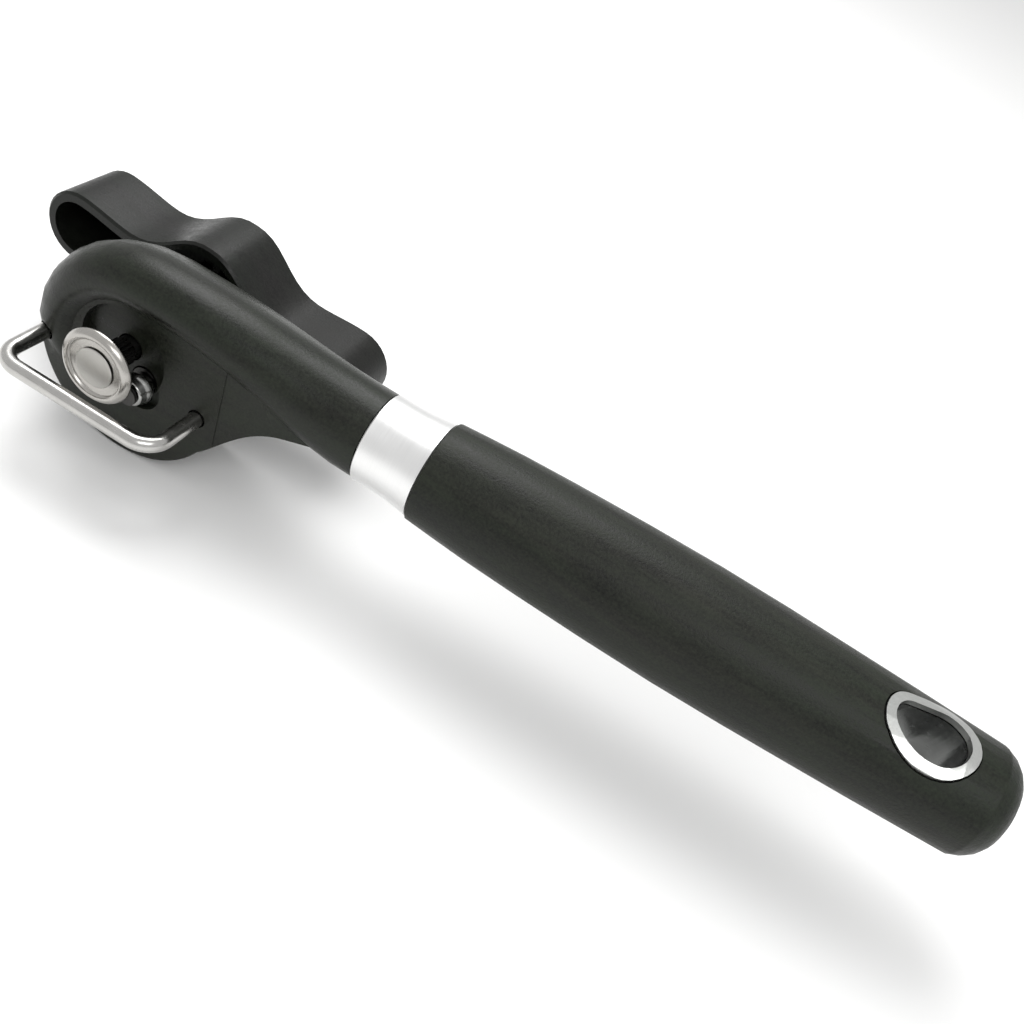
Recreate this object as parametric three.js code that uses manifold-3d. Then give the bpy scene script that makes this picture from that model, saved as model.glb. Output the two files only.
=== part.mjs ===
// Side-cutting can opener with a long handle: millimetres, +Z up.
// Every piece is drawn in the axle frame: the drive axle lies along +Y from the front disc (y = 0)
// to the turning knob, the handle runs along +X, and the whole is then stood on its lowest point.
// y = 0 is the plane of the front disc's rim.
import * as THREE from 'three';
import { mergeVertices } from 'three/addons/utils/BufferGeometryUtils.js';
import Module from 'manifold-3d';

const wasm = await Module();
wasm.setup();

// ---- driving dimensions ----
const GAP = 0.3;              // clearance between neighbouring pieces
const FIT = 0.15;             // clearance round a pressed or keyed piece
const FACE_Y = 6.8;           // flat front face of the head
const BACK_Y = 22.6;          // flat back face of the head
const LOBE = { x: 1.3, z: -2.6, radius: 20 };   // round lower half of the head
const HOOD_END = 1.34 * Math.PI;   // how far round the lobe the hood runs before it sinks into it
const NECK = { x: 48.1, y: 15.7, z: 6.5, radius: 8.6 };   // round end of the head, on the handle's axis
const POCKET = { radius: 9.2, cutterRadius: 4.5, floorY: 8.8 };    // recess that the two wheels work in
const CHAMBER = { x: 2, z: -2.6, radius: 11, frontY: 12.2 };   // gear space behind the pocket
const COVER = { radius: 15.2, thickness: 2.2, screwRing: 13.1, screws: 3 };

const SHAFT = { seat: 1.8, collar: 2.4, rear: 2.1 };      // radii of the drive shaft
const GEAR = { module: 0.5, driveTeeth: 14, cutterTeeth: 12, frontY: 15.1, thickness: 3 };
const AXLE_DISTANCE = GEAR.module * (GEAR.driveTeeth + GEAR.cutterTeeth) / 2;
const CUTTER_DIRECTION = -52 * Math.PI / 180;     // from the drive axle to the cutter, in the XZ plane
const ECCENTRICITY = 0.8;                         // throw of the cutter's journal, fully open as drawn
const DISC_RADIUS = 7.4;
const CUTTER_RADIUS = 3.3;
const SPINDLE = { body: 2.5, journal: 1.3, rear: 1.6 };   // radii of the cutter's spindle

const KNOB = {
  nearY: 27.8, farY: 43.5, half: 36.6, hub: 14.3, waist: 6.1, lobe: 7.4, wall: 2, floor: 2.5,
  boss: 5, bossY: 23.5, ribReach: 8.2, turn: 4 * Math.PI / 180,
};

const BAIL = { x: 0.5, half: 16.8, z: -4.8, frontY: -6.1, endY: 14, wire: 1.55, corner: 4.4 };
const COLLAR = { length: 12.2, front: 8.8, waist: 8.85, rear: 9.5, bore: 6.8 };
const GRIP = { startX: NECK.x + 12.5, endX: 174.1, endRound: 6.5 };
const TANG = { startX: 30, endX: 138, height: 7, width: 3.6 };
const EYELET = {
  x: 153.9, tilt: 16 * Math.PI / 180, wideX: 2.1, narrowX: -3.5,
  wide: 4.8, narrow: 3.2, belly: 0.45, rim: 1.7, sleeve: 0.7, proud: 0.25, seat: 1.4,
};

// ---- finishes ----
function finish(color, roughness, metalness) {
  return new THREE.MeshStandardMaterial({ color, roughness, metalness });
}
const blackPlastic = finish(0x1c1b1a, 0.5, 0);
const whitePlastic = finish(0xd8d4c8, 0.5, 0);
const chrome = finish(0xd6d6d4, 0.12, 1);
const satinMetal = finish(0xc4c4c2, 0.35, 1);
const steel = finish(0x9a9a98, 0.35, 1);
const brass = finish(0xb08d4a, 0.35, 1);

// ---- helpers ----
function toSolid(geometry) {
  const bare = geometry.clone();
  bare.deleteAttribute('normal');
  bare.deleteAttribute('uv');
  const merged = mergeVertices(bare, 1e-4);
  const vertProperties = Float32Array.from(merged.attributes.position.array);
  const corners = Array.from(merged.index.array);
  const isFlat = (a, b, c) => a === b || b === c || c === a;
  const triVerts = Uint32Array.from(corners.filter((_, k) => {
    const start = k - k % 3;
    return !isFlat(...corners.slice(start, start + 3));
  }));
  return new wasm.Manifold(new wasm.Mesh({ numProp: 3, vertProperties, triVerts }));
}

function toGeometry(solid) {
  const mesh = solid.getMesh();
  const geometry = new THREE.BufferGeometry();
  geometry.setAttribute('position', new THREE.BufferAttribute(mesh.vertProperties, 3));
  geometry.setIndex(new THREE.BufferAttribute(mesh.triVerts, 1));
  return geometry;
}

function piece(name, shape, material, x = 0, z = 0) {
  const solid = shape.isBufferGeometry ? toSolid(shape) : shape;
  const mesh = new THREE.Mesh(toGeometry(solid), material);
  mesh.name = name;
  mesh.position.set(x, 0, z);
  return mesh;
}

// a body turned about the Y axis; the profile holds [radius, y] pairs and starts and ends on the axis
function turned(profile, segments = 24) {
  const points = profile.map(([radius, y]) => new THREE.Vector2(radius, y));
  return new THREE.LatheGeometry(points, segments);
}

// a turned ring or tube: the profile is closed on itself, away from the axis
function turnedRing(profile, segments = 24) {
  return turned([...profile, profile[0]], segments);
}

function disc(radius, y0, y1, segments = 24) {
  return turned([[0, y0], [radius, y0], [radius, y1], [0, y1]], segments);
}

function ring(inner, outer, y0, y1, segments = 24) {
  return turnedRing([[inner, y0], [outer, y0], [outer, y1], [inner, y1]], segments);
}

// an outline drawn in X and Z, given thickness along Y
function plate(shape, y0, y1, bevel = 0, curveSegments = 12, bevelSegments = 2) {
  const geometry = new THREE.ExtrudeGeometry(shape, {
    depth: y1 - y0 - 2 * bevel,
    bevelEnabled: bevel > 0,
    bevelSize: bevel,
    bevelThickness: bevel,
    bevelOffset: -bevel,
    bevelSegments,
    curveSegments,
  });
  return geometry.rotateX(Math.PI / 2).translate(0, y1 - bevel, 0);
}

function box(x0, x1, y0, y1, z0, z1) {
  return new THREE.BoxGeometry(x1 - x0, y1 - y0, z1 - z0)
    .translate((x0 + x1) / 2, (y0 + y1) / 2, (z0 + z1) / 2);
}

// a closed skin over rings of points that all turn the same way, with a flat fan at each end
function loft(rings) {
  const count = rings[0].length;
  const middle = (points) => points.reduce((sum, p) => sum.add(p), new THREE.Vector3()).divideScalar(count);
  const vertices = [...rings.flat(), middle(rings[0]), middle(rings.at(-1))];
  const first = vertices.length - 2;
  const last = vertices.length - 1;
  const lastRing = (rings.length - 1) * count;
  const triangles = [];
  for (let k = 0; k < count; k += 1) {
    const next = (k + 1) % count;
    for (let row = 0; row < lastRing; row += count) {
      triangles.push(row + k, row + count + k, row + next);
      triangles.push(row + next, row + count + k, row + count + next);
    }
    triangles.push(first, k, next);
    triangles.push(last, lastRing + next, lastRing + k);
  }
  const geometry = new THREE.BufferGeometry().setFromPoints(vertices);
  geometry.setIndex(triangles);
  return geometry;
}

function cut(body, ...tools) {
  return tools.reduce((solid, tool) => solid.subtract(toSolid(tool)), toSolid(body));
}

function join(...geometries) {
  return geometries.map(toSolid).reduce((solid, other) => solid.add(other));
}

// ---- head ----
const spindle = {
  x: AXLE_DISTANCE * Math.cos(CUTTER_DIRECTION),
  z: AXLE_DISTANCE * Math.sin(CUTTER_DIRECTION),
};
const cutter = {
  x: spindle.x + ECCENTRICITY * Math.cos(CUTTER_DIRECTION),
  z: spindle.z + ECCENTRICITY * Math.sin(CUTTER_DIRECTION),
};

function at(geometry, { x, z }) {
  return geometry.translate(x, 0, z);
}

// the hood's section as [y, distance from the lobe's centre], from the back edge over the front shoulder
const hoodSection = [
  [27, 14.1], [22.6, 16.8], [17.5, 20.1], [12, 21.9], [7.2, 20.6], [5, 17.2], [5.6, 14],
  [9.2, 11.2], [15, 7.8], [21, 6], [27, 8],
];
// where the same points lie round the neck, as degrees from the back
const neckAngles = [30, 50, 78, 105, 130, 155, 180, 215, 260, 305, 345];

function hoodRing(neckShare, x, angle, shrink) {
  const points = hoodSection.map(([y, rise], k) => {
    const turn = neckAngles[k] * Math.PI / 180;
    const neckY = NECK.y + NECK.radius * Math.cos(turn);
    const neckRise = NECK.z - LOBE.z + NECK.radius * Math.sin(turn);
    const headY = THREE.MathUtils.lerp(y, 17, shrink * 0.3);
    const headRise = rise * (1 - shrink * 0.1);
    return new THREE.Vector2(
      THREE.MathUtils.lerp(headY, neckY, neckShare),
      THREE.MathUtils.lerp(headRise, neckRise, neckShare),
    );
  });
  points.push(points[0]);
  return new THREE.SplineCurve(points).getPoints(26).slice(0, -1).map((point) => new THREE.Vector3(
    x + point.y * Math.cos(angle),
    point.x,
    LOBE.z + point.y * Math.sin(angle),
  ));
}

function hood() {
  const rings = [];
  const straight = 10;
  for (let k = 0; k <= straight; k += 1) {
    const x = THREE.MathUtils.lerp(NECK.x, LOBE.x, k / straight);
    rings.push(hoodRing(THREE.MathUtils.smoothstep(x, 8, NECK.x - 2), x, Math.PI / 2, 0));
  }
  const bend = 12;
  for (let k = 1; k <= bend; k += 1) {
    const angle = THREE.MathUtils.lerp(Math.PI / 2, HOOD_END, k / bend);
    const shrink = THREE.MathUtils.smoothstep(angle, 0.95 * Math.PI, HOOD_END);
    rings.push(hoodRing(0, LOBE.x, angle, shrink));
  }
  return loft(rings);
}

// the flat lower half: a round lobe that runs out into the neck below the hood
function lobePlate() {
  const inside = 13.6;
  const shape = new THREE.Shape();
  shape.absarc(LOBE.x, LOBE.z, LOBE.radius, 1.03 * Math.PI, 1.83 * Math.PI, false);
  shape.bezierCurveTo(22.6, -9.2, 26, -1.6, 34, 0.4);
  shape.lineTo(NECK.x - 6, 2.4);
  shape.lineTo(NECK.x - 6, 10);
  shape.absarc(LOBE.x, LOBE.z, inside, Math.PI / 2, 1.03 * Math.PI, false);
  return plate(shape, FACE_Y, BACK_Y + 3, 0.6, 24);
}

function headShell() {
  // the web below the neck lies a little behind the lobe's face, and slopes back to meet the neck
  const web = { x: 21.5, step: 0.15, slope: 7.5 * Math.PI / 180 };
  const frontOfWeb = box(0, 40, -10, 0, -20, 13).rotateZ(web.slope).translate(web.x, FACE_Y + web.step, 0);
  const pocket = disc(POCKET.radius, FACE_Y - 6, POCKET.floorY, 36);
  const cutterPocket = at(disc(POCKET.cutterRadius, FACE_Y - 6, POCKET.floorY, 28), cutter);
  const lower = cut(lobePlate(), pocket, cutterPocket, frontOfWeb);
  const spigot = disc(COLLAR.bore - GAP, 0, COLLAR.length + 1, 32)
    .rotateZ(-Math.PI / 2).translate(NECK.x - 1, NECK.y, NECK.z);
  const flatBack = box(-40, NECK.x - 4, BACK_Y, BACK_Y + 12, -40, 40);
  const tools = [
    flatBack,
    at(disc(CHAMBER.radius, CHAMBER.frontY, BACK_Y + 1, 32), CHAMBER),
    at(disc(COVER.radius + FIT, BACK_Y - COVER.thickness - FIT, BACK_Y + 1, 44), CHAMBER),
    disc(SHAFT.collar + GAP, 0, BACK_Y, 28),
    at(disc(SPINDLE.body + GAP, 0, BACK_Y, 28), spindle),
    ...[-1, 1].map((side) => at(
      disc(BAIL.wire + GAP, -10, BAIL.endY + GAP, 20),
      { x: BAIL.x + side * BAIL.half, z: BAIL.z },
    )),
    ...screwPlaces().map((place) => at(disc(1, BACK_Y - 9, BACK_Y, 12), place)),
    tangSpace(),
    tangPin(GAP),
  ];
  return tools.reduce((solid, tool) => solid.subtract(toSolid(tool)), lower.add(join(hood(), spigot)));
}

// ---- cover on the back of the head ----
function screwPlaces() {
  return Array.from({ length: COVER.screws }, (_, k) => {
    const turn = Math.PI * (0.5 + 2 * k / COVER.screws) + 0.5;
    return {
      x: CHAMBER.x + COVER.screwRing * Math.cos(turn),
      z: CHAMBER.z + COVER.screwRing * Math.sin(turn),
    };
  });
}

function backCover() {
  const front = BACK_Y - COVER.thickness;
  const sinks = screwPlaces().map((place) => at(turned([
    [0, front - 1], [1.4, front - 1], [1.4, BACK_Y - 1], [2.4, BACK_Y], [2.4, BACK_Y + 1], [0, BACK_Y + 1],
  ], 20), place));
  return cut(
    at(disc(COVER.radius, front, BACK_Y, 44), CHAMBER),
    disc(3.6 + FIT, front - 1, BACK_Y + 1, 28),
    ...sinks,
  );
}

function coverScrew() {
  const head = turned([
    [0, BACK_Y - 8], [0.9, BACK_Y - 8], [0.9, BACK_Y - 1.2], [2.1, BACK_Y - 0.1], [0, BACK_Y - 0.1],
  ], 12);
  const slot = box(-1.5, 1.5, BACK_Y - 0.7, BACK_Y + 1, -0.3, 0.3);
  const cross = slot.clone().rotateY(Math.PI / 2);
  return cut(head, slot, cross);
}

// ---- drive train on the knob's axle ----
function driveShaft() {
  const end = 39.2;
  const flatStart = KNOB.nearY + 1.5;
  const body = turned([
    [0, -0.5], [SHAFT.seat, -0.5], [SHAFT.seat, 7.5], [SHAFT.collar, 7.5], [SHAFT.collar, 14.8],
    [SHAFT.rear, 14.8], [SHAFT.rear, flatStart],
    [SHAFT.rear - 0.1, flatStart], [SHAFT.rear - 0.1, end], [0, end],
  ], 24);
  const flats = [-1, 1].map((side) => box(-4, 4, flatStart, end + 1, side > 0 ? 1.6 : -4, side > 0 ? 4 : -1.6));
  return cut(body, ...flats, disc(1, -2, 6, 16), disc(1.25, 30, end + 1, 16));
}

function flatBore(y0, y1) {
  const round = toSolid(disc(SHAFT.rear + FIT, y0, y1, 24));
  return toGeometry(round.intersect(toSolid(box(-4, 4, y0, y1, -1.6 - FIT, 1.6 + FIT))));
}

function guideDisc() {
  const rim = DISC_RADIUS;
  return turnedRing([
    [SHAFT.seat + FIT, -0.5], [5.45, -0.5], [5.75, -0.95], [6.2, -1.15], [6.75, -0.95],
    [rim - 0.1, -0.25], [rim, 0], [rim, 0.3], [rim - 0.25, 0.45], [SHAFT.seat + FIT, 0.45],
  ], 36);
}

function axleHead() {
  const front = -1;
  const back = -0.75;
  return turned([
    [0, front], [3.75, front], [3.95, front + 0.1], [3.95, back], [0.85, back], [0.85, 5.5], [0, 5.5],
  ], 28);
}

// radial outline with a repeated tooth: each tooth is a list of [share of the pitch, radius]
function toothedShape(teeth, tooth, phase = 0) {
  const shape = new THREE.Shape();
  for (let k = 0; k < teeth; k += 1) {
    tooth.forEach(([share, radius]) => {
      const turn = phase + (k + share) * 2 * Math.PI / teeth;
      const point = [radius * Math.cos(turn), radius * Math.sin(turn)];
      if (k === 0 && share === tooth[0][0]) shape.moveTo(...point);
      else shape.lineTo(...point);
    });
  }
  shape.closePath();
  return shape;
}

function driveWheel() {
  const shape = toothedShape(18, [[-0.5, 2.3], [-0.12, 2.7], [0.12, 2.7]]);
  return cut(plate(shape, 0.75, 7.2), disc(SHAFT.seat + FIT, 0, 8, 24));
}

// a spur gear with involute flanks; one tooth points along the phase angle
function gear(teeth, bore, phase) {
  const pitch = GEAR.module * teeth / 2;
  const base = pitch * Math.cos(20 * Math.PI / 180);
  const root = pitch - 1.15 * GEAR.module;
  const tip = pitch + 0.8 * GEAR.module;
  const backlash = 0.16;
  const involute = (radius) => {
    const pressure = Math.acos(Math.min(1, base / radius));
    return Math.tan(pressure) - pressure;
  };
  const halfShare = (radius) => {
    const half = Math.PI / (2 * teeth) - backlash / (2 * pitch) + involute(pitch) - involute(radius);
    return half * teeth / (2 * Math.PI);
  };
  const radii = [root, Math.max(base, root + 0.1), pitch, tip];
  const tooth = [
    ...radii.map((radius) => [-halfShare(radius), radius]),
    ...radii.toReversed().map((radius) => [halfShare(radius), radius]),
  ];
  const blank = plate(toothedShape(teeth, tooth, phase), GEAR.frontY, GEAR.frontY + GEAR.thickness);
  return cut(blank, disc(bore, 0, BACK_Y, 20));
}

function waveWasher() {
  const segments = 24;
  const rings = Array.from({ length: segments }, (_, k) => {
    const turn = 2 * Math.PI * k / segments;
    const y = GEAR.frontY + GEAR.thickness + 0.45 + 0.15 * Math.cos(3 * turn);
    return [[2.4, -0.15], [3.4, -0.15], [3.4, 0.15], [2.4, 0.15]].map(([radius, rise]) => (
      new THREE.Vector3(radius * Math.cos(turn), y + rise, radius * Math.sin(turn))
    ));
  });
  const positions = rings.flat();
  const triangles = [];
  rings.forEach((_, k) => {
    const here = 4 * k;
    const there = 4 * ((k + 1) % segments);
    for (let side = 0; side < 4; side += 1) {
      const next = (side + 1) % 4;
      triangles.push(here + side, here + next, there + side);
      triangles.push(here + next, there + next, there + side);
    }
  });
  const geometry = new THREE.BufferGeometry().setFromPoints(positions);
  geometry.setIndex(triangles);
  return geometry;
}

// an open retaining ring that snaps into a groove
function snapRing(inner, outer, y0, y1) {
  return cut(ring(inner, outer, y0, y1, 20), box(inner * 0.4, outer + 1, y0 - 1, y1 + 1, -0.7, 0.7));
}

// ---- cutter on its eccentric spindle ----
function cutterSpindle() {
  const throwX = cutter.x - spindle.x;
  const throwZ = cutter.z - spindle.z;
  const journal = disc(SPINDLE.journal, 3.8, 10, 24).translate(throwX, 0, throwZ);
  const rivet = disc(2, 3.2, 3.8, 24).translate(throwX, 0, throwZ);
  const body = turned([
    [0, 8.6], [SPINDLE.body, 8.6], [SPINDLE.body, 14.9],
    [SPINDLE.rear, 14.9], [SPINDLE.rear, 19.6], [0, 19.6],
  ], 24);
  return join(journal, rivet, body);
}

function cutterWheel() {
  const bore = SPINDLE.journal + 0.15;
  return turnedRing([
    [bore, 4.1], [2.4, 4.1], [2.55, 4.25], [2.7, 5.4], [CUTTER_RADIUS, 6.45], [CUTTER_RADIUS, 6.6],
    [2.5, 7.2], [2.3, 8.3], [bore, 8.3],
  ], 28);
}

// ---- knob ----
// half the knob's height between its two round ends, a wall's thickness in from the outside
function knobHalfWidth(x, inset) {
  const tipCentre = KNOB.half - KNOB.lobe;
  const spread = 10.35;
  const fullness = 2.5;
  const side = Math.abs(x);
  const rail = THREE.MathUtils.lerp(KNOB.waist, KNOB.lobe, THREE.MathUtils.smoothstep(side, 15, tipCentre));
  const hub = (KNOB.hub - KNOB.waist) * Math.exp(-((side / spread) ** fullness));
  return rail + hub - inset;
}

function knobShape(inset) {
  const shape = new THREE.Shape();
  const tipCentre = KNOB.half - KNOB.lobe;
  const steps = 30;
  const edge = Array.from({ length: steps - 1 }, (_, k) => {
    const x = tipCentre * (2 * (k + 1) / steps - 1);
    return new THREE.Vector2(x, knobHalfWidth(x, inset));
  });
  shape.absarc(-tipCentre, 0, KNOB.lobe - inset, 1.5 * Math.PI, 0.5 * Math.PI, true);
  edge.forEach(({ x, y }) => shape.lineTo(x, y));
  shape.absarc(tipCentre, 0, KNOB.lobe - inset, 0.5 * Math.PI, -0.5 * Math.PI, true);
  edge.toReversed().forEach(({ x, y }) => shape.lineTo(x, -y));
  return shape;
}

function knob() {
  const inside = KNOB.farY - KNOB.floor;
  const shell = cut(
    plate(knobShape(0), KNOB.nearY, KNOB.farY, 0.5, 8, 1),
    plate(knobShape(KNOB.wall), KNOB.nearY - 1, inside, 0, 8),
  );
  const along = box(-KNOB.ribReach, KNOB.ribReach, KNOB.nearY + 4, inside + 0.5, -0.8, 0.8);
  const across = box(-0.8, 0.8, KNOB.nearY + 4, inside + 0.5, -KNOB.hub + 1, KNOB.hub - 1);
  const boss = disc(KNOB.boss, KNOB.bossY, inside + 0.5, 32);
  return shell.add(join(boss, across, along))
    .subtract(toSolid(flatBore(KNOB.nearY + 1.7, 39.5)))
    .subtract(toSolid(disc(SHAFT.rear + FIT, KNOB.bossY - 1, KNOB.nearY + 1.8, 24)))
    .subtract(toSolid(disc(1.5, 38, KNOB.farY, 20)))
    .subtract(toSolid(disc(4.7, KNOB.farY - KNOB.floor, KNOB.farY + 1, 32)));
}

function knobScrew() {
  const seat = KNOB.farY - KNOB.floor + 0.05;
  const body = turned([
    [0, 31], [1.1, 31], [1.1, seat], [3, seat], [3, seat + 0.9], [2.4, seat + 1.3], [0, seat + 1.3],
  ], 24);
  const slot = box(-1.7, 1.7, seat + 0.6, seat + 3, -0.35, 0.35);
  return cut(body, slot, slot.clone().rotateY(Math.PI / 2));
}

function knobCap() {
  const top = KNOB.farY - 0.1;
  return turned([
    [0, top - 0.95], [4.4, top - 0.95], [4.4, top - 0.3], [3.8, top], [0, top + 0.08],
  ], 32);
}

// ---- wire bail in front of the wheels ----
function wireBail() {
  const { half, z, frontY, endY, corner } = BAIL;
  const point = (x, y) => new THREE.Vector3(BAIL.x + x, y, z);
  const path = new THREE.CurvePath();
  path.add(new THREE.LineCurve3(point(-half, endY), point(-half, frontY + corner)));
  path.add(new THREE.QuadraticBezierCurve3(
    point(-half, frontY + corner), point(-half, frontY), point(-half + corner, frontY),
  ));
  path.add(new THREE.LineCurve3(point(-half + corner, frontY), point(half - corner, frontY)));
  path.add(new THREE.QuadraticBezierCurve3(
    point(half - corner, frontY), point(half, frontY), point(half, frontY + corner),
  ));
  path.add(new THREE.LineCurve3(point(half, frontY + corner), point(half, endY)));
  const section = new THREE.Shape().absarc(0, 0, BAIL.wire, 0, 2 * Math.PI, false);
  return new THREE.ExtrudeGeometry(section, { steps: 28, extrudePath: path, curveSegments: 6 });
}

// ---- handle ----
function alongHandle(geometry, startX = 0) {
  return geometry.rotateZ(-Math.PI / 2).translate(startX, NECK.y, NECK.z);
}

function collar() {
  const rim = 0.3;
  const waisted = new THREE.SplineCurve([
    new THREE.Vector2(COLLAR.front, rim),
    new THREE.Vector2(COLLAR.waist, COLLAR.length / 2),
    new THREE.Vector2(COLLAR.rear, COLLAR.length - rim),
  ]).getPoints(6).map((point) => point.toArray());
  return alongHandle(turnedRing([
    [COLLAR.bore, 0], [COLLAR.front - rim, 0], ...waisted,
    [COLLAR.rear - rim, COLLAR.length], [COLLAR.bore, COLLAR.length],
  ], 36), NECK.x + FIT);
}

// the grip's own outline, grown by an offset; stations run from its front face to its rounded end
function gripBlank(offset) {
  const length = GRIP.endX - GRIP.startX;
  const barrel = new THREE.SplineCurve([
    [0, 9.9], [17.5, 11], [51.5, 11.8], [84.5, 11.15], [length - GRIP.endRound, 10.4],
  ].map(([station, radius]) => new THREE.Vector2(radius + offset, station))).getPoints(10);
  const tip = Array.from({ length: 5 }, (_, k) => {
    const turn = Math.PI / 2 * (k + 1) / 6;
    const flat = 10.4 + offset - GRIP.endRound;
    return new THREE.Vector2(
      flat + GRIP.endRound * Math.cos(turn),
      length + offset - 1.2 - GRIP.endRound + GRIP.endRound * Math.sin(turn),
    );
  });
  const end = new THREE.Vector2(0, length + offset);
  const start = new THREE.Vector2(0, 0);
  const points = [start, ...barrel, ...tip, end];
  return alongHandle(new THREE.LatheGeometry(points, 28), GRIP.startX);
}

// where the tangents at two angles of two circles on the x axis meet
function tangentMeeting(firstX, firstRadius, firstAngle, secondX, secondRadius, secondAngle) {
  const firstReach = firstX * Math.cos(firstAngle) + firstRadius;
  const secondReach = secondX * Math.cos(secondAngle) + secondRadius;
  const cross = Math.sin(secondAngle - firstAngle);
  return [
    (firstReach * Math.sin(secondAngle) - secondReach * Math.sin(firstAngle)) / cross,
    (secondReach * Math.cos(firstAngle) - firstReach * Math.cos(secondAngle)) / cross,
  ];
}

// the hole's outline: straight behind, with a rounded belly in front
function teardrop(grow) {
  const wide = EYELET.wide + grow;
  const narrow = EYELET.narrow + grow;
  const lean = Math.acos((wide - narrow) / (EYELET.wideX - EYELET.narrowX));
  const wideStart = lean + EYELET.belly - Math.PI;
  const narrowEnd = Math.PI + lean - EYELET.belly;
  const bellyTip = tangentMeeting(EYELET.narrowX, narrow, narrowEnd, EYELET.wideX, wide, wideStart);
  const shape = new THREE.Shape();
  shape.absarc(EYELET.wideX, 0, wide, wideStart, Math.PI - lean, false);
  shape.absarc(EYELET.narrowX, 0, narrow, Math.PI - lean, narrowEnd, false);
  shape.quadraticCurveTo(
    ...bellyTip,
    EYELET.wideX + wide * Math.cos(wideStart),
    wide * Math.sin(wideStart),
  );
  return shape;
}

// a straight teardrop bar through the handle, on the hanging hole's own leaning axis
function holeBar(grow, z0 = -20, z1 = 20) {
  const geometry = new THREE.ExtrudeGeometry(teardrop(grow), {
    depth: z1 - z0, bevelEnabled: false, curveSegments: 8,
  });
  return geometry.translate(0, 0, z0).rotateX(EYELET.tilt).translate(EYELET.x, NECK.y, NECK.z);
}

function gripHandle() {
  const ringSeat = toSolid(holeBar(EYELET.rim + GAP)).subtract(toSolid(gripBlank(-EYELET.seat)));
  return toSolid(gripBlank(0))
    .subtract(ringSeat)
    .subtract(toSolid(holeBar(EYELET.sleeve + GAP)))
    .subtract(toSolid(tangSpace()));
}

// a metal ring let into the grip round one mouth of the hanging hole
function eyeletRing(side) {
  const half = side > 0 ? [0, 20] : [-20, 0];
  return toSolid(holeBar(EYELET.rim, ...half))
    .intersect(toSolid(gripBlank(EYELET.proud)))
    .subtract(toSolid(gripBlank(GAP - EYELET.seat)))
    .subtract(toSolid(holeBar(0)));
}

// the thin metal tube that lines the hanging hole between its two rings
function eyeletSleeve() {
  return toSolid(holeBar(EYELET.sleeve))
    .intersect(toSolid(gripBlank(-EYELET.seat)))
    .subtract(toSolid(holeBar(0)));
}

function tangBar(grow) {
  return box(
    TANG.startX - grow, TANG.endX + grow,
    NECK.y - TANG.width / 2 - grow, NECK.y + TANG.width / 2 + grow,
    NECK.z - TANG.height / 2 - grow, NECK.z + TANG.height / 2 + grow,
  );
}

function tangSpace() {
  return tangBar(GAP);
}

function tangPin(grow = 0) {
  const y0 = NECK.y - 4;
  return disc(1.5 + grow, y0 - grow, BACK_Y - 0.4 + 3 * grow, 20).translate(38, 0, NECK.z);
}

function tang() {
  return cut(tangBar(0), tangPin(FIT));
}

// ---- assembly ----
const staticParts = [
  piece('head_shell', headShell(), blackPlastic),
  piece('back_cover', backCover(), blackPlastic),
  ...screwPlaces().map(({ x, z }, k) => piece(`cover_screw_${k + 1}`, coverScrew(), steel, x, z)),
  piece('bearing_plate', cut(
    at(disc(CHAMBER.radius - GAP, 12.5, 14.6, 44), CHAMBER),
    disc(SHAFT.collar + 0.2, 12, 15, 28),
    at(disc(SPINDLE.body + 0.2, 12, 15, 28), spindle),
  ), brass),
  piece('rear_bush', ring(SHAFT.rear + 0.2, 3.6, BACK_Y - COVER.thickness, BACK_Y - 0.05), brass),
  piece('wire_bail', wireBail(), chrome),
  piece('collar', collar(), satinMetal),
  piece('tang', tang(), steel),
  piece('tang_pin', tangPin(), steel),
  piece('handle_grip', gripHandle(), blackPlastic),
  piece('eyelet_upper', eyeletRing(1), satinMetal),
  piece('eyelet_lower', eyeletRing(-1), satinMetal),
  piece('eyelet_sleeve', eyeletSleeve(), chrome),
];

const knobParts = [
  piece('knob', knob(), blackPlastic),
  piece('knob_screw', knobScrew(), steel),
  piece('knob_cap', knobCap(), blackPlastic),
  piece('knob_washer', ring(SHAFT.rear + 0.2, 4.6, BACK_Y + 0.2, BACK_Y + 0.7), whitePlastic),
  piece('drive_shaft', driveShaft(), steel),
  piece('guide_disc', guideDisc(), chrome),
  piece('axle_head', axleHead(), satinMetal),
  piece('drive_wheel', driveWheel(), steel),
  piece('clutch_washer', waveWasher(), steel),
  piece('shaft_clip', snapRing(SHAFT.rear + 0.1, 3.3, 19.1, 19.7), steel),
];

const gearParts = [
  piece('drive_gear', gear(GEAR.driveTeeth, SHAFT.rear + 0.2, CUTTER_DIRECTION), brass),
];

const spindleParts = [
  piece('cutter_spindle', cutterSpindle(), steel, spindle.x, spindle.z),
  piece('cutter_gear', gear(
    GEAR.cutterTeeth, SPINDLE.rear + 0.1, CUTTER_DIRECTION + Math.PI + Math.PI / GEAR.cutterTeeth,
  ), brass, spindle.x, spindle.z),
  piece('spindle_clip', snapRing(SPINDLE.rear + 0.1, 2.7, 18.4, 19), steel, spindle.x, spindle.z),
  piece('cutter_wheel', cutterWheel(), chrome, cutter.x, cutter.z),
];

const turningKnob = new THREE.Group();
turningKnob.rotation.y = KNOB.turn;
turningKnob.add(...knobParts);

const opener = new THREE.Group();
opener.add(...staticParts, turningKnob, ...gearParts, ...spindleParts);
opener.updateMatrixWorld(true);

// the origin is the middle of the envelope's underside
const envelope = new THREE.Box3().setFromObject(opener, true);
const middle = envelope.getCenter(new THREE.Vector3());
opener.position.set(-middle.x, -middle.y, -envelope.min.z);

const group = new THREE.Group();
group.add(opener);

export default group;
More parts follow.
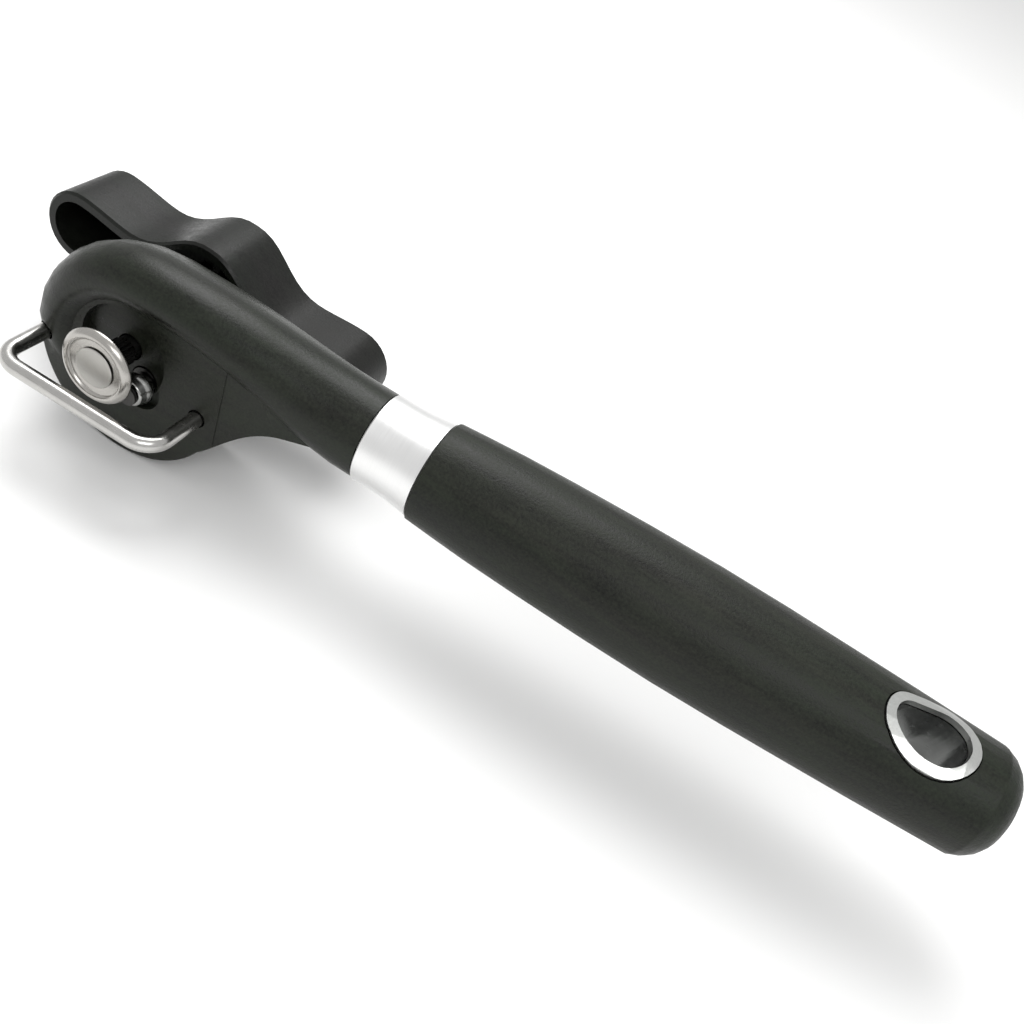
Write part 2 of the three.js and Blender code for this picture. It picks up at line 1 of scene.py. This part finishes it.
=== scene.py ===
# A manual side-cutting can opener: black head and grip, bright metal fittings, a wing knob behind.
# It is put together in a maker's order: head, works, wheels, wire bail, handle, knob, then the studio.
import math

import bmesh
import bpy
from mathutils import Matrix, Vector


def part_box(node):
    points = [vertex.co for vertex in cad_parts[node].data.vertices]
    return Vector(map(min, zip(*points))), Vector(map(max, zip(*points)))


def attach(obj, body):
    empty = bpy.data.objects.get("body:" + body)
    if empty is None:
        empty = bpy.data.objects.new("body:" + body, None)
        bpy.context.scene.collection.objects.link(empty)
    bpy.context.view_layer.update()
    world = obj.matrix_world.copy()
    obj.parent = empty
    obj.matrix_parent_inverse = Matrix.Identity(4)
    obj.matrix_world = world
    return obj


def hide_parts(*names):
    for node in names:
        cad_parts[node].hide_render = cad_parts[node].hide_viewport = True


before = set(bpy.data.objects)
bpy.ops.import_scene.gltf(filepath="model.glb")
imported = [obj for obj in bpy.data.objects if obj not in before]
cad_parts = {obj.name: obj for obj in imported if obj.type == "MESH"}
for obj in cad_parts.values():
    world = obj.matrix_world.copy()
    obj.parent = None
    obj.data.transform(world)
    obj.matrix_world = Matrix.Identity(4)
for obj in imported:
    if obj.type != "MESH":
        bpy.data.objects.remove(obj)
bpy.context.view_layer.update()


# ---- Head ----
# One hollow moulding in black plastic: a rounded hood over a flat lobe with the wheels' recess,
# and a neck towards the handle. The mould gives it a fine eroded grain and faint flow lines.
def pick(sockets, key):
    """A node's socket by its number, its name, or its identifier where names repeat."""
    if isinstance(key, int) or key in sockets:
        return sockets[key]
    return next(socket for socket in sockets if socket.identifier == key)


class Signal:
    """An output socket in a material. Arithmetic on signals adds Math nodes."""

    def __init__(self, socket):
        self.socket = socket

    def node(self, kind, inputs, output=0, **settings):
        """Adds one node: its settings first, then the values or signals of its inputs."""
        tree = self.socket.id_data
        made = tree.nodes.new(kind)
        for name, value in settings.items():
            setattr(made, name, value)
        for name, value in inputs.items():
            socket = pick(made.inputs, name)
            if isinstance(value, Signal):
                tree.links.new(value.socket, socket)
            else:
                socket.default_value = value
        return Signal(pick(made.outputs, output))

    def maths(self, operation, first, second):
        return self.node("ShaderNodeMath", {0: first, 1: second}, operation=operation)

    def __add__(self, other):
        return self.maths("ADD", self, other)

    __radd__ = __add__

    def __sub__(self, other):
        return self.maths("SUBTRACT", self, other)

    def __rsub__(self, other):
        return self.maths("SUBTRACT", other, self)

    def __mul__(self, other):
        return self.maths("MULTIPLY", self, other)

    __rmul__ = __mul__

    def between(self, low, high):
        """This signal kept between two numbers."""
        return self.node("ShaderNodeClamp", {"Value": self, "Min": low, "Max": high})

    def noise(self, scale, detail=2.0, roughness=0.5):
        """Cloudy noise over a place signal; scale is in cells to the metre."""
        inputs = {"Vector": self, "Scale": scale, "Detail": detail, "Roughness": roughness}
        return self.node("ShaderNodeTexNoise", inputs)

    def stretched(self, along_x, along_y, along_z):
        """Place coordinates scaled by a share on each axis; a pattern gets long where it is small."""
        return self.node("ShaderNodeMapping", {"Vector": self, "Scale": (along_x, along_y, along_z)})

    def mix(self, first, second):
        """Goes from the first colour to the second as this signal goes from 0 to 1."""
        inputs = {"Factor": self, "A_Color": first, "B_Color": second}
        return self.node("ShaderNodeMix", inputs, "Result_Color", data_type="RGBA")

    def colour(self, dark, light):
        """A colour that goes from dark to light as this signal goes from 0 to 1."""
        return self.mix((*dark, 1.0), (*light, 1.0))

    def relief(self, depth):
        """A bump of this depth in metres."""
        return self.node("ShaderNodeBump", {"Height": self, "Distance": depth, "Strength": 1.0})


class Finish:
    """A material with one main shader, and the place signal that its patterns start from."""

    def __init__(self, name, **constants):
        self.material = bpy.data.materials.new(name)
        self.material.use_nodes = True
        self.tree = self.material.node_tree
        self.shader = self.tree.nodes["Principled BSDF"]
        self.place = Signal(self.tree.nodes.new("ShaderNodeTexCoord").outputs["Object"])
        for key, value in constants.items():
            self.shader.inputs[self.socket_name(key)].default_value = value

    @staticmethod
    def socket_name(key):
        return key.replace("_", " ").title().replace("Ior", "IOR")

    def feed(self, **signals):
        for key, signal in signals.items():
            self.tree.links.new(signal.socket, self.shader.inputs[self.socket_name(key)])
        return self.material


def cooled(colour):
    """The greener shade that the same plastic takes where it ran last in the mould."""
    red, green, blue = colour
    return (red * 0.76, green * 1.04, blue * 0.80)


def moulded_black(name, dark, light, sheen, grain_depth, flow_share):
    """Black plastic with an eroded grain, clouds of sheen, and flow lines that run along the handle."""
    finish = Finish(name, ior=1.34)
    flow = finish.place.stretched(0.12, 1.0, 1.0).noise(520.0, detail=6.0, roughness=0.65)
    band = finish.place.stretched(0.06, 1.0, 1.0).noise(150.0, detail=3.0)
    cloud = finish.place.noise(45.0, detail=3.0)
    grain = finish.place.noise(1900.0, detail=3.0, roughness=0.65)
    tone = (flow - 0.5) * flow_share + (cloud - 0.5) * 0.7 + (grain - 0.5) * 1.5 + 0.5
    tint = ((band - 0.5) * 2.2 + (flow - 0.5) * 1.0 + 0.5).between(0.0, 1.0)
    warm = tone.between(0.0, 1.0).colour(dark, light)
    cool = tone.between(0.0, 1.0).colour(cooled(dark), cooled(light))
    gloss = (cloud - 0.5) * 0.2 + (flow - 0.5) * 0.35 + (grain - 0.5) * 0.3 + sheen
    return finish.feed(
        base_color=tint.mix(warm, cool),
        roughness=gloss.between(0.2, 0.9),
        normal=(grain + flow * 0.5).relief(grain_depth),
    )


def cast_of(node):
    """Mesh work with the shape of a frame part, its loose triangles joined up."""
    cast = bmesh.new()
    cast.from_mesh(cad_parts[node].data)
    bmesh.ops.remove_doubles(cast, verts=cast.verts, dist=2e-6)
    return cast


def put_in(name, work, body, material, stands_for, round_edge=0.0, sharp_angle=35.0):
    """Makes mesh work a finished piece on a body: even shading, rounded edges and material, and hides
    the frame part it stands for.
    """
    sharp = math.radians(sharp_angle)
    for face in work.faces:
        face.smooth = True
    for edge in work.edges:
        edge.smooth = edge.is_manifold and edge.calc_face_angle(0.0) < sharp
    mesh = bpy.data.meshes.new(name)
    work.to_mesh(mesh)
    work.free()
    mesh.materials.append(material)
    piece = bpy.data.objects.new(name, mesh)
    bpy.context.scene.collection.objects.link(piece)
    if round_edge > 0:
        rounded = piece.modifiers.new("rounded edges", "BEVEL")
        rounded.width = round_edge
        rounded.segments = 3
        rounded.limit_method = "ANGLE"
        rounded.angle_limit = sharp
        rounded.use_clamp_overlap = True
        rounded.harden_normals = True
    even = piece.modifiers.new("even shading", "WEIGHTED_NORMAL")
    even.keep_sharp = True
    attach(piece, body)
    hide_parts(stands_for)
    return piece


head_plastic = moulded_black(
    "head plastic", dark=(0.0028, 0.0031, 0.0022), light=(0.0190, 0.0196, 0.0143),
    sheen=0.37, grain_depth=0.00004, flow_share=1.3,
)
put_in(
    "head_moulding", cast_of("head_shell"), "head_and_handle",
    head_plastic, "head_shell",
)

# ---- Back cover ----
# A round plastic lid let into the head's flat back, held by three countersunk steel screws
# with cross slots. It closes the gear space and carries the rear bush.
put_in(
    "back_lid", cast_of("back_cover"), "head_and_handle",
    head_plastic, "back_cover",
)


def plain_metal(name, dark, light, sheen, scratch_depth):
    """Bare metal with a slightly uneven sheen and fine handling scratches."""
    finish = Finish(name, metallic=1.0)
    cloud = finish.place.noise(600.0, detail=3.0)
    scratch = finish.place.stretched(1.0, 0.08, 0.3).noise(9000.0, detail=2.0)
    gloss = (cloud - 0.5) * 0.25 + (scratch - 0.5) * 0.2 + sheen
    return finish.feed(
        base_color=(cloud * 0.6 + scratch * 0.4).between(0.0, 1.0).colour(dark, light),
        roughness=gloss.between(0.08, 0.8),
        normal=scratch.relief(scratch_depth),
    )


FINE_SCRATCH = 0.000004
blackened_steel = plain_metal(
    "blackened steel", (0.035, 0.034, 0.033), (0.10, 0.098, 0.095), 0.38, FINE_SCRATCH,
)
bare_steel = plain_metal(
    "bare steel", (0.36, 0.355, 0.35), (0.56, 0.555, 0.54), 0.34, FINE_SCRATCH,
)
for place in (1, 2, 3):
    node = f"cover_screw_{place}"
    put_in(f"lid_screw_{place}", cast_of(node), "head_and_handle", bare_steel, node)

# ---- Works inside the head ----
# Brass bearing plate, rear bush and two gears, and the steel shaft and spindle with their washer,
# clips and drive wheel. They are turned and cut from bar; the shaft, spindle and wheel are blackened.
machined_brass = plain_metal(
    "machined brass", (0.42, 0.30, 0.12), (0.66, 0.50, 0.23), 0.30, FINE_SCRATCH,
)
works = [
    ("bearing_plate", "head_and_handle", "brass", machined_brass),
    ("rear_bush", "head_and_handle", "brass", machined_brass),
    ("drive_gear", "clutch_gear", "brass", machined_brass),
    ("cutter_gear", "eccentric_spindle", "brass", machined_brass),
    ("cutter_spindle", "eccentric_spindle", "steel", blackened_steel),
    ("spindle_clip", "eccentric_spindle", "steel", bare_steel),
    ("drive_shaft", "knob_drive", "steel", blackened_steel),
    ("clutch_washer", "knob_drive", "steel", bare_steel),
    ("shaft_clip", "knob_drive", "steel", bare_steel),
    ("drive_wheel", "knob_drive", "steel", blackened_steel),
]
for node, body, slot_name, material in works:
    put_in(f"{node}_finished", cast_of(node), body, material, node)

# ---- Front disc and axle head ----
# The guide disc is nickelled steel with a raised bead round its rim and a flat middle, on which the
# axle's flat head sits. Both are turned, and fine rings from the lathe still show.
disc_low, disc_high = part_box("guide_disc")
MILLIMETRE = 0.001
BEAD_ABOVE_RIM = 1.15
axle = (disc_low + disc_high) / 2
axle.y = disc_low.y + BEAD_ABOVE_RIM * MILLIMETRE


def turned(profile, steps=96, closed=False):
    """Mesh work turned about the Y axis from (radius, y) pairs in millimetres."""
    work = bmesh.new()
    points = [work.verts.new((radius, y, 0.0)) for radius, y in profile]
    lines = [work.edges.new(pair) for pair in zip(points, points[1:])]
    if closed:
        lines.append(work.edges.new((points[-1], points[0])))
    bmesh.ops.spin(
        work, geom=points + lines, cent=(0, 0, 0), axis=(0, 1, 0),
        angle=2 * math.pi, steps=steps, use_merge=True,
    )
    bmesh.ops.remove_doubles(work, verts=work.verts, dist=1e-5)
    bmesh.ops.recalc_face_normals(work, faces=work.faces)
    return work


def moved(work, middle):
    """Takes mesh work in millimetres round the origin to its place in metres."""
    work.transform(Matrix.Translation(middle) @ Matrix.Scale(MILLIMETRE, 4))
    return work


def turned_metal(name, middle, dark, light, sheen, ring_depth):
    """Bright metal with the fine rings that a lathe leaves round a centre."""
    finish = Finish(name, metallic=1.0)
    to_middle = {"Vector": finish.place, "Scale": (1, 0, 1), "Location": (-middle.x, 0, -middle.z)}
    flat = finish.place.node("ShaderNodeMapping", to_middle)
    radius = flat.node("ShaderNodeVectorMath", {0: flat}, output="Value", operation="LENGTH")
    rings = radius.node("ShaderNodeTexNoise", {"W": radius, "Scale": 7000.0}, noise_dimensions="1D")
    cloud = finish.place.noise(500.0, detail=3.0)
    gloss = (rings - 0.5) * 0.12 + (cloud - 0.5) * 0.1 + sheen
    return finish.feed(
        base_color=(rings * 0.5 + cloud * 0.5).between(0.0, 1.0).colour(dark, light),
        roughness=gloss.between(0.05, 0.8),
        normal=rings.relief(ring_depth),
    )


disc_metal = turned_metal(
    "nickelled disc", axle, (0.38, 0.365, 0.34), (0.54, 0.525, 0.50), 0.25, 0.000006,
)
disc_profile = [
    (2.0, -0.5), (5.35, -0.5), (5.5, -0.56), (5.62, -0.78), (5.8, -1.0), (6.1, -1.13), (6.4, -1.12),
    (6.8, -0.92), (7.15, -0.55), (7.34, -0.15), (7.4, 0.05), (7.4, 0.3), (7.2, 0.44), (2.0, 0.44),
]
put_in(
    "front_disc", moved(turned(disc_profile, closed=True), axle), "knob_drive",
    disc_metal, "guide_disc", round_edge=0.00008,
)
head_metal = turned_metal(
    "axle head face", axle, (0.38, 0.37, 0.345), (0.52, 0.51, 0.485), 0.36, 0.000008,
)
axle_profile = [
    (0, -0.97), (3.5, -0.99), (3.75, -0.96), (3.9, -0.88), (3.95, -0.75),
    (0.85, -0.75), (0.85, 5.4), (0, 5.4),
]
put_in(
    "axle_button", moved(turned(axle_profile), axle), "knob_drive",
    head_metal, "axle_head", round_edge=0.00006,
)

# ---- Cutting wheel ----
# A hardened steel roller with a sharp rim, ground bright on both sides of the edge. It runs free
# on the eccentric journal of its spindle.
cutter_low, cutter_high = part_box("cutter_wheel")
cutter_middle = (cutter_low + cutter_high) / 2
cutter_middle.y = axle.y
ground_steel = turned_metal(
    "ground cutter steel", cutter_middle, (0.3, 0.3, 0.29), (0.5, 0.5, 0.49), 0.2, 0.000004,
)
cutter_profile = [
    (1.5, 4.1), (2.35, 4.1), (2.5, 4.2), (2.58, 4.4), (2.72, 5.4), (2.86, 5.75), (3.3, 6.48),
    (3.3, 6.57), (2.62, 7.1), (2.5, 7.3), (2.3, 8.3), (1.5, 8.3),
]
put_in(
    "cutting_roller", moved(turned(cutter_profile, closed=True), cutter_middle), "cutter",
    ground_steel, "cutter_wheel", round_edge=0.00005,
)

# ---- Wire bail ----
# Bright drawn wire bent twice at right angles; both ends are pushed into the head. It keeps the
# head upright on the can and guards the wheels.
bail_low, bail_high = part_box("wire_bail")
WIRE = 1.55
BEND = 4.4
BEND_STEPS = 14
BAIL_SIDES = 28


def run_on(work, loop, step):
    """Carries an open tube's end loop straight on by a step, and gives the new end loop."""
    grown = bmesh.ops.extrude_edge_only(work, edges=loop)["geom"]
    points = [item for item in grown if isinstance(item, bmesh.types.BMVert)]
    bmesh.ops.translate(work, verts=points, vec=step)
    ends = set(points)
    return [item for item in grown if isinstance(item, bmesh.types.BMEdge) and set(item.verts) <= ends]


def bend_round(work, loop, pivot, angle):
    """Carries an open tube's end loop round a bend about an upright pivot."""
    geometry = list({point for edge in loop for point in edge.verts}) + list(loop)
    swept = bmesh.ops.spin(
        work, geom=geometry, cent=pivot, axis=(0, 0, 1), angle=angle, steps=BEND_STEPS,
        use_merge=False,
    )
    return [item for item in swept["geom_last"] if isinstance(item, bmesh.types.BMEdge)]


def bail_wire():
    size = (bail_high - bail_low) / MILLIMETRE
    half = size.x / 2 - WIRE
    leg = size.y - WIRE - BEND
    work = bmesh.new()
    upright = Matrix.Translation((-half, leg + BEND, 0)) @ Matrix.Rotation(math.pi / 2, 4, "X")
    start = bmesh.ops.create_circle(
        work, segments=BAIL_SIDES, radius=WIRE, cap_ends=True, matrix=upright,
    )
    loop = list({edge for point in start["verts"] for edge in point.link_edges})
    loop = run_on(work, loop, (0, -leg, 0))
    loop = bend_round(work, loop, (-half + BEND, BEND, 0), math.pi / 2)
    loop = run_on(work, loop, (2 * (half - BEND), 0, 0))
    loop = bend_round(work, loop, (half - BEND, BEND, 0), math.pi / 2)
    loop = run_on(work, loop, (0, leg, 0))
    bmesh.ops.edgeloop_fill(work, edges=loop)
    bmesh.ops.remove_doubles(work, verts=work.verts, dist=1e-4)
    bmesh.ops.recalc_face_normals(work, faces=work.faces)
    return work


drawn_wire = Finish("drawn wire", metallic=1.0)
wire_cloud = drawn_wire.place.noise(320.0, detail=4.0)
wire_lines = drawn_wire.place.stretched(0.15, 0.15, 1.0).noise(6500.0, detail=2.0)
bright_wire = drawn_wire.feed(
    base_color=(wire_cloud * 0.6 + wire_lines * 0.4).between(0.0, 1.0).colour(
        (0.40, 0.395, 0.38), (0.62, 0.61, 0.59),
    ),
    roughness=((wire_cloud - 0.5) * 0.2 + (wire_lines - 0.5) * 0.12 + 0.24).between(0.08, 0.5),
    normal=wire_lines.relief(0.000005),
)
bail_middle = (bail_low + bail_high) / 2
bail_middle.y = bail_low.y + WIRE * MILLIMETRE
put_in(
    "bail", moved(bail_wire(), bail_middle), "head_and_handle", bright_wire, "wire_bail",
    sharp_angle=60.0,
)

# ---- Collar ----
# A slightly waisted sleeve of satin aluminium between the neck and the grip, brushed round its
# girth after turning, with small chamfers at both ends.
collar_low, collar_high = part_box("collar")
collar_front = (collar_low + collar_high) / 2
collar_front.x = collar_low.x
COLLAR_LENGTH = (collar_high.x - collar_low.x) / MILLIMETRE
COLLAR_ENDS = (8.8, 9.5)
COLLAR_WAIST = 8.82
COLLAR_BORE = 6.8
COLLAR_CHAMFER = 0.25
COLLAR_STEPS = 12


def collar_sleeve():
    front, rear = COLLAR_ENDS
    outside = []
    for step in range(COLLAR_STEPS + 1):
        share = step / COLLAR_STEPS
        straight = front + (rear - front) * share
        sag = ((front + rear) / 2 - COLLAR_WAIST) * math.sin(math.pi * share)
        along = COLLAR_CHAMFER + (COLLAR_LENGTH - 2 * COLLAR_CHAMFER) * share
        outside.append((straight - sag, along))
    profile = [
        (COLLAR_BORE, 0), (front - COLLAR_CHAMFER, 0), *outside,
        (rear - COLLAR_CHAMFER, COLLAR_LENGTH), (COLLAR_BORE, COLLAR_LENGTH),
    ]
    work = turned(profile, steps=128, closed=True)
    work.transform(Matrix.Rotation(-math.pi / 2, 4, "Z"))
    return work


satin = Finish("satin aluminium", metallic=1.0)
brushing = satin.place.stretched(1.0, 0.04, 0.04).noise(5200.0, detail=4.0, roughness=0.6)
bloom = satin.place.noise(120.0, detail=2.0)
satin_aluminium = satin.feed(
    base_color=(brushing * 0.6 + bloom * 0.4).between(0.0, 1.0).colour(
        (0.78, 0.78, 0.775), (0.93, 0.93, 0.925),
    ),
    roughness=((brushing - 0.5) * 0.2 + (bloom - 0.5) * 0.08 + 0.36).between(0.15, 0.7),
    normal=brushing.relief(0.000010),
)
put_in(
    "collar_sleeve", moved(collar_sleeve(), collar_front), "head_and_handle",
    satin_aluminium, "collar",
)

# ---- Tang and cross pin ----
# A flat steel bar that runs from the head down the middle of the grip, with one pin through it.
for node in ("tang", "tang_pin"):
    put_in(f"{node}_bar", cast_of(node), "head_and_handle", bare_steel, node)

# ---- Grip ----
# A barrel-shaped moulding in harder black plastic, more matt than the head, with the same grain
# and long flow lines. The lined hanging hole runs through its end.
grip_plastic = moulded_black(
    "grip plastic", dark=(0.0032, 0.0035, 0.0025), light=(0.0222, 0.0226, 0.0165),
    sheen=0.45, grain_depth=0.00007, flow_share=1.5,
)
put_in("grip", cast_of("handle_grip"), "head_and_handle", grip_plastic, "handle_grip")

# ---- Hanging hole lining ----
# A flat teardrop ring of satin metal let into each mouth of the hanging hole, with a thin steel sleeve
# between the two. The sleeve's darker colour is painted shade for the inside of the hole.
ring_finish = Finish("satin ring", metallic=1.0)
ring_brushing = ring_finish.place.stretched(1.0, 1.0, 0.2).noise(3800.0, detail=4.0)
satin_ring = ring_finish.feed(
    base_color=ring_brushing.colour((0.48, 0.49, 0.475), (0.64, 0.65, 0.63)),
    roughness=((ring_brushing - 0.5) * 0.25 + 0.34).between(0.12, 0.7),
    normal=ring_brushing.relief(0.000010),
)
for node in ("eyelet_upper", "eyelet_lower"):
    put_in(
        f"{node}_ring", cast_of(node), "head_and_handle", satin_ring, node,
        round_edge=0.00012,
    )
# The sleeve steel is coloured darker than the bare steel: painted shade for the inside of the hanging
# hole.
lining_steel_painted_shade = plain_metal(
    "hole lining steel", (0.10, 0.103, 0.10), (0.22, 0.225, 0.22), 0.22, 0.000003,
)
put_in(
    "hole_lining", cast_of("eyelet_sleeve"), "head_and_handle",
    lining_steel_painted_shade, "eyelet_sleeve",
)

# ---- Wing knob ----
# A hollow moulding, open towards the head, with a round hub and two wings. A screw under a pressed
# cap holds it on the shaft, and a pale washer keeps it off the lid.
knob_plastic = moulded_black(
    "knob plastic", dark=(0.0035, 0.0034, 0.003), light=(0.012, 0.0115, 0.0102),
    sheen=0.40, grain_depth=0.00004, flow_share=1.3,
)
put_in("wing_knob", cast_of("knob"), "knob_drive", knob_plastic, "knob")
put_in("knob_button", cast_of("knob_cap"), "knob_drive", knob_plastic, "knob_cap")
put_in("knob_fixing_screw", cast_of("knob_screw"), "knob_drive", bare_steel, "knob_screw")

washer_finish = Finish("pale washer plastic", ior=1.5)
washer_cloud = washer_finish.place.noise(900.0, detail=3.0)
pale_plastic = washer_finish.feed(
    base_color=washer_cloud.colour((0.62, 0.60, 0.53), (0.76, 0.74, 0.67)),
    roughness=((washer_cloud - 0.5) * 0.2 + 0.5).between(0.3, 0.7),
)
put_in("pale_washer", cast_of("knob_washer"), "knob_drive", pale_plastic, "knob_washer")

# ---- Floor ----
# A plain pale sheet, far wider than the opener.
floor_finish = Finish("pale floor", roughness=0.55, specular_ior_level=0.2)
floor_cloud = floor_finish.place.noise(6.0)
pale_floor = floor_finish.feed(base_color=floor_cloud.colour((0.93, 0.93, 0.925), (0.95, 0.95, 0.945)))
floor_work = bmesh.new()
bmesh.ops.create_grid(floor_work, x_segments=1, y_segments=1, size=4.0)
floor_mesh = bpy.data.meshes.new("floor")
floor_work.to_mesh(floor_mesh)
floor_work.free()
floor_mesh.materials.append(pale_floor)
floor = bpy.data.objects.new("floor", floor_mesh)
bpy.context.scene.collection.objects.link(floor)


# ---- Lights ----
# A white room, a large softbox high behind the head, and a weaker one in front.
def softbox(name, place, size, power):
    lamp = bpy.data.lights.new(name, "AREA")
    lamp.shape = "RECTANGLE"
    lamp.size, lamp.size_y = size
    lamp.energy = power
    holder = bpy.data.objects.new(name, lamp)
    holder.location = place
    holder.rotation_euler = (-Vector(place)).to_track_quat("-Z", "Y").to_euler()
    bpy.context.scene.collection.objects.link(holder)


softbox("high softbox", (-0.22, 0.26, 0.60), (0.45, 0.45), 3.2)
softbox("front softbox", (0.30, -0.45, 0.62), (0.5, 0.3), 1.6)
room = bpy.data.worlds.new("white room")
room.use_nodes = True
room.node_tree.nodes["Background"].inputs["Color"].default_value = (1, 1, 1, 1)
room.node_tree.nodes["Background"].inputs["Strength"].default_value = 0.72
bpy.context.scene.world = room
bpy.context.scene.view_settings.view_transform = "Standard"

# ---- Camera ----
# It looks down over the head towards the grip's end, turned so that the handle runs down the frame.
CAMERA_FROM_AXLE = Vector((0.0988, -0.1312, 0.1321))
CAMERA_AZIMUTH = math.radians(8.7)
CAMERA_TILT = math.radians(50.1)
CAMERA_ROLL = math.radians(25.6)
camera_data = bpy.data.cameras.new("camera")
camera_data.lens = 38.67
camera_data.sensor_width = 36.0
camera = bpy.data.objects.new("camera", camera_data)
look = Matrix.Rotation(CAMERA_AZIMUTH, 4, "Z") @ Matrix.Rotation(CAMERA_TILT, 4, "X")
look = look @ Matrix.Rotation(CAMERA_ROLL, 4, "Z")
camera.matrix_world = Matrix.Translation(axle + CAMERA_FROM_AXLE) @ look
bpy.context.scene.collection.objects.link(camera)
bpy.context.scene.camera = camera
